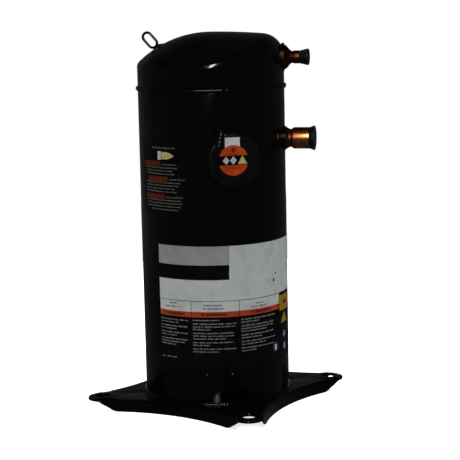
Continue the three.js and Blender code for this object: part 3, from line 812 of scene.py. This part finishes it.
def flutes(angle, radius, height):
    """Shallow grip flutes round the cover's skirt."""
    if radius < COVER_R - 0.2 or height > COVER_FRONT - 4:
        return radius
    wave = 0.5 + 0.5 * math.cos(FLUTES * angle)
    return radius - FLUTE_DEPTH * wave ** 2


def strands(angle, radius, height):
    """Leads twisted together inside a thin sleeve."""
    return radius * (0.88 + 0.12 * abs(math.cos(3 * angle - 0.73 * height)))


def make_terminal_cover():
    """The round moulded cover: fluted skirt, a face with a fine groove, and the lead sleeve."""
    face = COVER_FRONT
    skirt = [(COVER_R, z) for z in np.linspace(COVER_BACK, face - 4.2, 12)]
    inside = [(0, FACE_BACK), (COVER_INNER_R, FACE_BACK), (COVER_INNER_R, COVER_BACK)]
    profile = inside + skirt + [
        (COVER_R, FACE_BACK), (COVER_R - 0.3, face - 1.2), (COVER_R - 0.9, face - 0.3),
        (COVER_R - 1.8, face), (23.6, face), (23.2, face - 0.5), (22.2, face - 0.5),
        (21.8, face), (0, face)]
    cover = turned("terminal_lid", profile, TERMINAL, segments=288, swell=flutes, sharp=40)
    cylinder = [(0, 200), (SHELL_R + 0.3, 200), (SHELL_R + 0.3, 357), (0, 357)]
    cut(cover, turned("shell_cut", cylinder, segments=192), sharp=40)
    dress(cover, MOULDING, "cover", "moulding", "terminal_cover")
    sleeve_profile = [(0, -SLEEVE_HALF), (SLEEVE_R * 0.8, -SLEEVE_HALF)]
    sleeve_profile += [(SLEEVE_R, z) for z in np.linspace(-SLEEVE_HALF + 0.5, SLEEVE_HALF - 0.5, 36)]
    sleeve_profile += [(SLEEVE_R * 0.8, SLEEVE_HALF), (0, SLEEVE_HALF)]
    seat = (TERMINAL @ Matrix.Translation((-24.5, -16, face - 1.5))
            @ Matrix.Rotation(-SLEEVE_LEAN, 4, "Z") @ Matrix.Rotation(math.pi / 2, 4, "Y"))
    sleeve = turned("lead_sleeve", sleeve_profile, seat, segments=60, swell=strands)
    dress(sleeve, SLEEVING, "cover", "moulding")


# ---- labels ----
# Each ink's slot, then its film's name, colour and, where it isn't the usual one, roughness.
LABEL_INKS = {
    "light": ("label_light", "light_ink", (0.236, 0.25, 0.247)),
    "grey": ("label_light", "grey_ink", (0.141, 0.146, 0.138)),
    "pale": ("label_white", "pale_ink", (0.243, 0.25, 0.246)),
    "tag": ("label_white", "tag_ink", (0.31, 0.315, 0.305)),
    "black": ("label_dark", "black_film", (0.0016, 0.0016, 0.0016), 0.22),
    "print": ("label_dark", "black_print", (0.02, 0.02, 0.022)),
    "fine": ("label_white", "fine_print", (0.1, 0.1, 0.1)),
    "faint": ("label_white", "faint_print", (0.055, 0.055, 0.052)),
    "orange": ("label_orange", "orange_ink", (0.18, 0.021, 0.004)),
    "dull": ("label_orange", "dull_orange_ink", (0.038, 0.008, 0.0015)),
    "vivid": ("label_orange", "vivid_orange_ink", (0.25, 0.03, 0.004)),
    "rust": ("label_orange", "rust_ink", (0.07, 0.006, 0.002)),
    "yellow": ("label_orange", "yellow_ink", (0.162, 0.08, 0.004)),
    "blue": ("label_dark", "blue_ink", (0.006, 0.007, 0.03)),
    "leaf": ("label_white", "leaf_ink", (0.24, 0.22, 0.08)),
}
INKS = {ink: (slot, film_material(*film)) for ink, (slot, *film) in LABEL_INKS.items()}


BAR_STEP = 4.0
PATCH_STEP = 1.2
TIP_SHARE = 0.002
WORD = (3.0, 9.5)
STROKE = (0.55, 1.0)
STROKE_HEIGHTS = (0.7, 0.72, 0.74, 1.0)
STROKE_GAP = 0.3
WORD_GAP = 1.1


class Print:
    """Thin slabs of ink or film laid on a surface, gathered by ink."""

    def __init__(self, title, body, surface):
        self.title, self.body, self.surface = title, body, surface
        self.points, self.faces, self.inks = [], [], []

    def slab(self, ink, outline, low, high):
        """A closed slab over an outline of (across, up) points, between two heights."""
        base = len(self.points)
        count = len(outline)
        for lift in (low, high):
            self.points += [self.surface(a, u, lift) for a, u in outline]
        bottom = tuple(range(base + count - 1, base - 1, -1))
        top = tuple(range(base + count, base + 2 * count))
        sides = [(base + i, base + (i + 1) % count, base + count + (i + 1) % count,
                  base + count + i) for i in range(count)]
        self.faces += [bottom, top] + sides
        self.inks += [ink] * (count + 2)

    def strip(self, ink, columns, low, high):
        """A slab through (across, bottom, top) columns, which follows a curved surface."""
        base = len(self.points)
        for across, bottom, top in columns:
            for up, lift in ((bottom, low), (top, low), (top, high), (bottom, high)):
                self.points.append(self.surface(across, up, lift))
        for i in range(len(columns) - 1):
            a, b = base + 4 * i, base + 4 * (i + 1)
            for k in range(4):
                n = (k + 1) % 4
                self.faces.append((a + k, a + n, b + n, b + k))
        end = base + 4 * (len(columns) - 1)
        self.faces.append((base, base + 3, base + 2, base + 1))
        self.faces.append((end, end + 1, end + 2, end + 3))
        self.inks += [ink] * (4 * (len(columns) - 1) + 2)

    def bar(self, ink, left, right, bottom, top, low, high):
        """A rectangle, cut into columns for a curved surface."""
        pieces = max(1, math.ceil((right - left) / BAR_STEP))
        columns = [(left + (right - left) * i / pieces, bottom, top) for i in range(pieces + 1)]
        self.strip(ink, columns, low, high)

    def patch(self, ink, outline, low, high):
        """A convex outline of (across, up) points, cut into columns for a curved surface."""
        left, right = min(a for a, _ in outline), max(a for a, _ in outline)
        pieces = math.ceil((right - left) / PATCH_STEP)
        columns = []
        for i in range(pieces + 1):
            across = left + (right - left) * min(max(i / pieces, TIP_SHARE), 1 - TIP_SHARE)
            hits = [u + (v - u) * (across - a) / (b - a)
                    for (a, u), (b, v) in zip(outline, outline[1:] + outline[:1])
                    if a != b and (a - across) * (b - across) <= 0]
            columns.append((across, min(hits), max(hits)))
        self.strip(ink, columns, low, high)

    def disc(self, ink, across, up, radius, low, high, sides=28):
        """A round patch about a middle."""
        outline = [(across + radius * math.cos(2 * math.pi * k / sides),
                    up + radius * math.sin(2 * math.pi * k / sides)) for k in range(sides)]
        self.patch(ink, outline, low, high)

    def line(self, ink, left, right, up, height, low, high, wander):
        """A line of fine print: words of small strokes, with no letters in it."""
        across = left
        foot = up - height / 2
        while across < right - 1.2:
            word = min(wander.uniform(*WORD), right - across)
            stroke = across
            while stroke < across + word - 0.5:
                wide = wander.uniform(*STROKE)
                tall = height * wander.choice(STROKE_HEIGHTS)
                self.bar(ink, stroke, stroke + wide, foot, foot + tall, low, high)
                stroke += wide + STROKE_GAP
            across += word + WORD_GAP

    def finish(self):
        """One object for each ink."""
        for ink in dict.fromkeys(self.inks):
            faces = [f for f, used in zip(self.faces, self.inks) if used == ink]
            kept = sorted({i for f in faces for i in f})
            index = {old: new for new, old in enumerate(kept)}
            obj = mesh_object(f"{self.title}_{ink}", [self.points[i] for i in kept],
                              [tuple(index[i] for i in f) for f in faces], sharp=40)
            slot, material = INKS[ink]
            dress(obj, material, self.body, slot)


def on_shell(across, up, lift):
    """A place on the shell: across is arc length from azimuth 0, up is height."""
    angle = across / SHELL_R
    radius = SHELL_R + lift
    return (radius * math.cos(angle), radius * math.sin(angle), up)


def arc_at(degrees):
    """Arc length on the shell at an azimuth in degrees."""
    return math.radians(degrees) * SHELL_R


# Bottom and top of each layer of film and ink, above the surface that it lies on.
FILM = (0.02, 0.16)
INK = (0.14, 0.22)
OVER = (0.2, 0.28)
TAG = (0.02, 0.2)
LABEL_FILM = (0.18, 0.32)
LABEL_INK = (0.3, 0.38)
LABEL_OVER = (0.36, 0.44)


def make_nameplate():
    """The wrapped nameplate, with plain fields and unreadable fine print."""
    plate = Print("nameplate", "housing", on_shell)
    wander = random.Random(11)
    left, right = arc_at(-107.2), arc_at(38)
    top, field, rule, head, stripe, foot = 191.5, 154.2, 130.6, 118.9, 112.8, 57
    hair = 0.02
    plate.bar("black", left, right, foot, top, *FILM)
    plate.bar("light", left, right, rule + 0.3, field, *INK)
    plate.bar("light", arc_at(-48.3), right, field + hair, top, *INK)
    plate.bar("grey", left, arc_at(-48.5), 170.6, top, *INK)
    columns = [left, arc_at(-78.2), arc_at(-40.9), arc_at(-0.4)]
    for a, b in zip(columns, columns[1:]):
        plate.bar("pale", a + 0.25, b - 0.25, head, rule - 0.3, *INK)
        plate.bar("orange", a + 0.25, b - 0.25, stripe, head, *INK)
        middle = (a + b) / 2
        plate.bar("rust", middle - 11, middle + 13, stripe + 1.7, stripe + 4.3, *OVER)
        plate.bar("rust", middle - 15.5, middle - 12.5, stripe + 1.5, stripe + 4.5, *OVER)
    for middle, wide, drop in ((-93.5, 9, 127.6), (-61.3, 20, 126.4), (-23.4, 10, 125.6)):
        centre = arc_at(middle)
        plate.line("print", centre - wide / 2, centre + wide / 2, drop, 1.7, *OVER, wander)
        plate.line("print", centre - 11, centre + 11, drop - 3.9, 1.7, *OVER, wander)
    text_columns = (
        (arc_at(-106.3), arc_at(-79.8), 108.8, (2, 2, 2, 3)),
        (arc_at(-77.2), arc_at(-42.4), 109.6, (1, 3, 3, 2, 2)),
        (arc_at(-39.6), arc_at(-5), 109.0, (2, 3, 2, 2, 2)),
    )
    for start, end, up, paragraphs in text_columns:
        for lines in paragraphs:
            for i in range(lines):
                last = i == lines - 1
                reach = wander.uniform(0.35, 0.8) if last else wander.uniform(0.88, 1.0)
                plate.line("fine", start, start + (end - start) * reach, up, 1.5, *INK, wander)
                up -= 3.1
            up -= 1.1
    plate.line("fine", arc_at(-106.5), arc_at(-103), 66, 1.4, *INK, wander)
    plate.line("fine", arc_at(-100.5), arc_at(-91), 66.4, 1.6, *INK, wander)
    make_nameplate_marks(plate)
    plate.finish()


def make_nameplate_marks(plate):
    """Plain coloured shapes at the nameplate's right-hand end."""
    plate.bar("yellow", arc_at(0.2), arc_at(19.5), 109.5, 127.4, *INK)
    plate.bar("rust", arc_at(6), arc_at(13.5), 116.5, 120.5, *OVER)
    triangle = [(arc_at(2.2), 95.4), (arc_at(14.8), 95.4), (arc_at(8.5), 107.6)]
    plate.patch("yellow", triangle, *INK)
    for azimuth, up, radius in ((-6.2, 70.6, 6.2), (8.2, 82.2, 5), (8.2, 68.2, 5)):
        plate.disc("blue", arc_at(azimuth), up, radius, *INK)
        plate.bar("pale", arc_at(azimuth) - radius * 0.25, arc_at(azimuth) + radius * 0.25,
                  up - radius * 0.55, up + radius * 0.5, *OVER)
    plate.disc("print", arc_at(-5), 154.6, 1.5, *OVER)
    plate.disc("print", arc_at(-7.6), 147.4, 1.9, *OVER)
    for side in (-1, 1):
        plate.bar("print", arc_at(-15) + side * 1.9 - 0.3, arc_at(-15) + side * 1.9 + 0.3,
                  146.6, 149.8, *OVER)


def make_side_panel():
    """The printed panel at the upper left: orange headings over unreadable fine print."""
    panel = Print("side_panel", "housing", on_shell)
    wander = random.Random(23)
    panel.bar("black", arc_at(-126), arc_at(-78.5), 226, 302, *FILM)
    panel.line("faint", arc_at(-111.7), arc_at(-88), 298.4, 2.2, *INK, wander)
    panel.bar("pale", arc_at(-105.4), arc_at(-101.8), 285, 294.4, *INK)
    tag = [(arc_at(-101.4), 286), (arc_at(-97), 285.7), (arc_at(-93), 286.9), (arc_at(-89.4), 289.8),
           (arc_at(-93), 292.7), (arc_at(-97), 293.9), (arc_at(-101.4), 293.6)]
    panel.patch("leaf", tag, *INK)
    headings = ((-124, -102.4, 280.6), (-118.5, -95.4, 264.0), (-121, -98.9, 244.6))
    for start, end, up in headings:
        panel.bar("dull", arc_at(start), arc_at(end), up - 2.7, up + 2.7, *INK)
        panel.bar("rust", arc_at(start) + 5, arc_at(end) - 4, up - 1.2, up + 1.2, *OVER)
    lines = (
        (-101, -88, 280.2), (-121, -87.2, 276.6), (-121, -89.6, 273.2), (-121, -89, 269.8),
        (-94, -80.6, 264), (-121, -84, 260.3), (-121, -85.8, 257), (-121, -88.6, 253.6),
        (-121, -86.6, 250.3), (-97, -81.8, 244.4), (-120, -83, 240.8), (-120, -83.6, 237.6),
        (-120, -83.8, 234.2), (-114, -86.8, 230.6),
    )
    for start, end, up in lines:
        panel.line("faint", arc_at(start), arc_at(end), up, 1.6, *INK, wander)
    panel.finish()


LABEL_ACROSS = -1.7
LABEL_UP = 0.6
LABEL_R = 16.3
LABEL_EDGE = LABEL_R - 0.02
BAND_STEPS = 40


def on_label(across, up, lift):
    """A place on the terminal cover's face, about the middle of its label."""
    return TERMINAL @ Vector((-LABEL_UP - up, LABEL_ACROSS + across, COVER_FRONT + lift))


def circle_band(radius, bottom, top):
    """The outline of a disc's part between two heights."""
    low, high = math.asin(bottom / radius), math.asin(top / radius)
    angles = [low + (high - low) * k / BAND_STEPS for k in range(BAND_STEPS + 1)]
    right = [(radius * math.cos(angle), radius * math.sin(angle)) for angle in angles]
    return right + [(-x, y) for x, y in right[::-1]]


def make_cover_label():
    """The round label on the terminal cover, and the pale tag that it overlaps."""
    label = Print("cover_label", "cover", on_label)
    wander = random.Random(31)
    label.bar("tag", -9.1, 7.3, 10.5, 24.6, *TAG)
    label.disc("black", 0, 0, LABEL_R, *LABEL_FILM, sides=72)
    label.slab("vivid", circle_band(LABEL_R, 5.2, LABEL_EDGE), *LABEL_INK)
    label.slab("vivid", circle_band(LABEL_R, -LABEL_EDGE, -5.1), *LABEL_INK)
    label.disc("rust", 0, 11, 2.6, *LABEL_OVER)
    label.line("rust", -10.5, 10.5, 6.3, 1.1, *LABEL_OVER, wander)
    for middle in (-8.2, -0.2):
        lozenge = [(middle + 3.8, 0), (middle, 4.4), (middle - 3.8, 0), (middle, -4.4)]
        label.slab("pale", lozenge, *LABEL_INK)
    label.slab("leaf", [(4.6, -4.1), (15.1, -4.1), (9.9, 5)], *LABEL_INK)
    for up, half in ((-6.9, 11), (-9, 9)):
        label.line("rust", -half, half, up, 1.0, *LABEL_OVER, wander)
    label.finish()


# ---- light, floor and camera ----
VIEW_AZIMUTH = math.radians(31.1)
FLOOR_R = 0.9


def area_light(name, azimuth, distance, height, size, power, aim=0.2, gloss=True, diffuse=True):
    """A soft box at an azimuth from the camera's side of the object, in metres."""
    data = bpy.data.lights.new(name, "AREA")
    data.shape = "RECTANGLE"
    data.size, data.size_y = size
    data.energy = power
    light = bpy.data.objects.new(name, data)
    bpy.context.scene.collection.objects.link(light)
    angle = VIEW_AZIMUTH - math.pi / 2 + math.radians(azimuth)
    place = around(angle, distance, height)
    light.location = place
    direction = Vector((0, 0, aim)) - place
    light.rotation_euler = direction.to_track_quat("-Z", "Y").to_euler()
    light.visible_glossy = gloss
    light.visible_diffuse = diffuse
    return light


def make_surround():
    """A white surround for the camera, and for everything else a dim one, darker overhead."""
    world = bpy.data.worlds.new("studio")
    world.use_nodes = True
    tree = world.node_tree
    nodes, links = tree.nodes, tree.links
    dim = nodes["Background"]
    dim.inputs["Color"].default_value = (0.92, 0.96, 1, 1)
    way = nodes.new("ShaderNodeTexCoord")
    parts = nodes.new("ShaderNodeSeparateXYZ")
    links.new(way.outputs["Generated"], parts.inputs["Vector"])
    links.new(ranged(tree, parts.outputs["Z"], 0.25, 0.75, 0.042, 0.006), dim.inputs["Strength"])
    bright = nodes.new("ShaderNodeBackground")
    bright.inputs["Color"].default_value = (1, 1, 1, 1)
    seen = nodes.new("ShaderNodeLightPath")
    mix = nodes.new("ShaderNodeMixShader")
    links.new(seen.outputs["Is Camera Ray"], mix.inputs["Fac"])
    links.new(dim.outputs["Background"], mix.inputs[1])
    links.new(bright.outputs["Background"], mix.inputs[2])
    links.new(mix.outputs["Shader"], nodes["World Output"].inputs["Surface"])
    bpy.context.scene.world = world


def make_stage():
    """A pale round floor that glows faintly, soft studio lights and the plain view transform."""
    bpy.ops.mesh.primitive_circle_add(vertices=96, radius=FLOOR_R, fill_type="NGON")
    floor = bpy.context.object
    floor.name = "floor"
    floor.visible_glossy = False
    made, shader = shader_of("pale_floor", (0.62, 0.62, 0.62), 0.8, specular=0.0)
    shader.inputs["Emission Color"].default_value = (1, 1, 1, 1)
    shader.inputs["Emission Strength"].default_value = 0.8
    grain = noise(made.node_tree, 30, 4)
    shade = blended(made.node_tree, grain, (0.61, 0.61, 0.605), (0.63, 0.63, 0.62))
    made.node_tree.links.new(shade, shader.inputs["Base Color"])
    floor.data.materials.append(made)
    make_surround()
    area_light("overhead", 0, 0.01, 2.6, (3, 3), 235, gloss=False)
    copper_box = area_light("copper_box", -22, 1.95, 0.98, (0.34, 0.5), 1.2, aim=0.36)
    copper_box.light_linking.receiver_collection = COPPER_PIECES
    for name, azimuth in (("rear_left", -168), ("rear_right", 168)):
        area_light(name, azimuth, 1.9, 0.16, (0.3, 0.36), 0.35)
    area_light("high_strip", -2, 1.5, 1.1, (0.14, 0.8), 14, aim=0.36, diffuse=False)
    area_light("left_wall", -113, 1.8, 0.6, (4, 1.6), 0.35, aim=0.35)
    bpy.context.scene.view_settings.view_transform = "Standard"


LENS = 114.7
SENSOR = 36
CAMERA_AWAY = 1651
CAMERA_Z = 460.3
PITCH, YAW, ROLL = 9.09, 0.62, -1.24


def make_camera():
    """The camera: a little higher than the object's top, looking down a little."""
    pitch, yaw, roll = math.radians(PITCH), math.radians(YAW), math.radians(ROLL)
    ahead = Vector((math.sin(yaw) * math.cos(pitch), math.cos(yaw) * math.cos(pitch),
                    -math.sin(pitch)))
    right = Vector((math.cos(yaw), -math.sin(yaw), 0))
    up = right.cross(ahead)
    across = right * math.cos(roll) + up * math.sin(roll)
    upright = up * math.cos(roll) - right * math.sin(roll)
    basis = Matrix((across, upright, -ahead)).transposed()
    turn = Matrix.Rotation(VIEW_AZIMUTH, 4, "Z")
    data = bpy.data.cameras.new("camera")
    data.lens = LENS
    data.sensor_width = SENSOR
    camera = bpy.data.objects.new("camera", data)
    bpy.context.scene.collection.objects.link(camera)
    place = Matrix.Translation(Vector((0, -CAMERA_AWAY, CAMERA_Z)) * MM)
    camera.matrix_world = turn @ place @ basis.to_4x4()
    bpy.context.scene.camera = camera


make_camera()
make_stage()
dress_frame()
make_shell()
make_cap()
make_welds()
make_plug_welds()
make_foot()
make_lifting_ring()
make_suction_line()
make_discharge_line()
make_terminal_cover()
make_nameplate()
make_side_panel()
make_cover_label()
